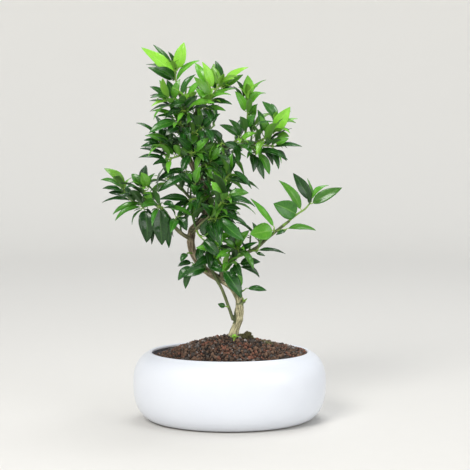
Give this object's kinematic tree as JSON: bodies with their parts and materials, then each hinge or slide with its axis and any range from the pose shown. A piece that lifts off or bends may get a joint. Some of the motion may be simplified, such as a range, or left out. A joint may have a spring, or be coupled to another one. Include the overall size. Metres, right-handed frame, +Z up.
{
  "type": "citrus bonsai",
  "caption": "Small citrus bonsai with a curved trunk, spreading branches and pointed glossy leaves, in a low oval white glazed pot with lava granules.",
  "frame": {"origin": "centre of the pot's flat underside, on the surface that it stands on", "axes": "+Z up along the tree, X along the pot's long side, -Y towards the viewer's side"},
  "size_m": [0.267, 0.1761, 0.42],
  "materials": {
    "glaze": "gloss",
    "screen_plastic": "matte",
    "lava_granules": "matte",
    "moss": "matte",
    "sprout_green": "satin",
    "bark": "matte",
    "leaf_old": "satin",
    "leaf_mid": "satin",
    "leaf_new": "satin"
  },
  "bodies": {
    "root": {"pot": "glaze", "drain_screen_left": "screen_plastic", "drain_screen_right": "screen_plastic", "soil": "lava_granules", "moss_clump": "moss", "sprout": "sprout_green", "trunk": "bark", "shoot_top_left_1": "leaf_mid", "shoot_top_left_2": "leaf_mid", "shoot_top_left_3": "leaf_mid", "shoot_top_middle_1": "leaf_new", "shoot_top_middle_2": "leaf_mid", "shoot_top_right_1": "leaf_mid", "shoot_right_1": "leaf_mid", "shoot_right_2": "leaf_old", "shoot_right_3": "leaf_mid", "shoot_right_4": "leaf_old", "shoot_upper_left_1": "leaf_mid", "shoot_upper_left_2": "leaf_mid", "shoot_upper_left_3": "leaf_mid", "shoot_left_1": "leaf_mid", "shoot_left_2": "leaf_new", "shoot_left_3": "leaf_mid", "shoot_left_4": "leaf_old", "shoot_left_5": "leaf_mid", "shoot_left_6": "leaf_old", "shoot_left_7": "leaf_old", "shoot_lower_left_1": "leaf_old", "shoot_lower_left_2": "leaf_old", "shoot_lower_left_3": "leaf_mid", "shoot_lower_right_1": "leaf_new", "shoot_lower_right_2": "leaf_new", "shoot_lower_right_3": "leaf_mid", "shoot_lower_right_4": "leaf_old", "shoot_lower_right_5": "leaf_old", "shoot_lower_right_6": "leaf_old", "shoot_lower_right_7": "leaf_old", "shoot_lower_right_8": "leaf_old", "shoot_sucker_1": "leaf_mid", "shoot_centre_1": "leaf_mid", "shoot_centre_2": "leaf_mid", "shoot_centre_3": "leaf_mid", "shoot_centre_4": "leaf_old", "shoot_centre_5": "leaf_new", "shoot_centre_6": "leaf_mid", "shoot_centre_7": "leaf_mid", "shoot_centre_8": "leaf_old", "shoot_centre_9": "leaf_old", "shoot_centre_10": "leaf_old", "shoot_centre_11": "leaf_old", "shoot_centre_12": "leaf_old", "shoot_rear_1": "leaf_mid", "shoot_rear_2": "leaf_mid", "shoot_rear_3": "leaf_mid", "shoot_rear_4": "leaf_mid", "shoot_rear_5": "leaf_mid", "shoot_rear_6": "leaf_mid", "shoot_rear_7": "leaf_mid", "shoot_rear_8": "leaf_mid"}
  },
  "joints": []
}
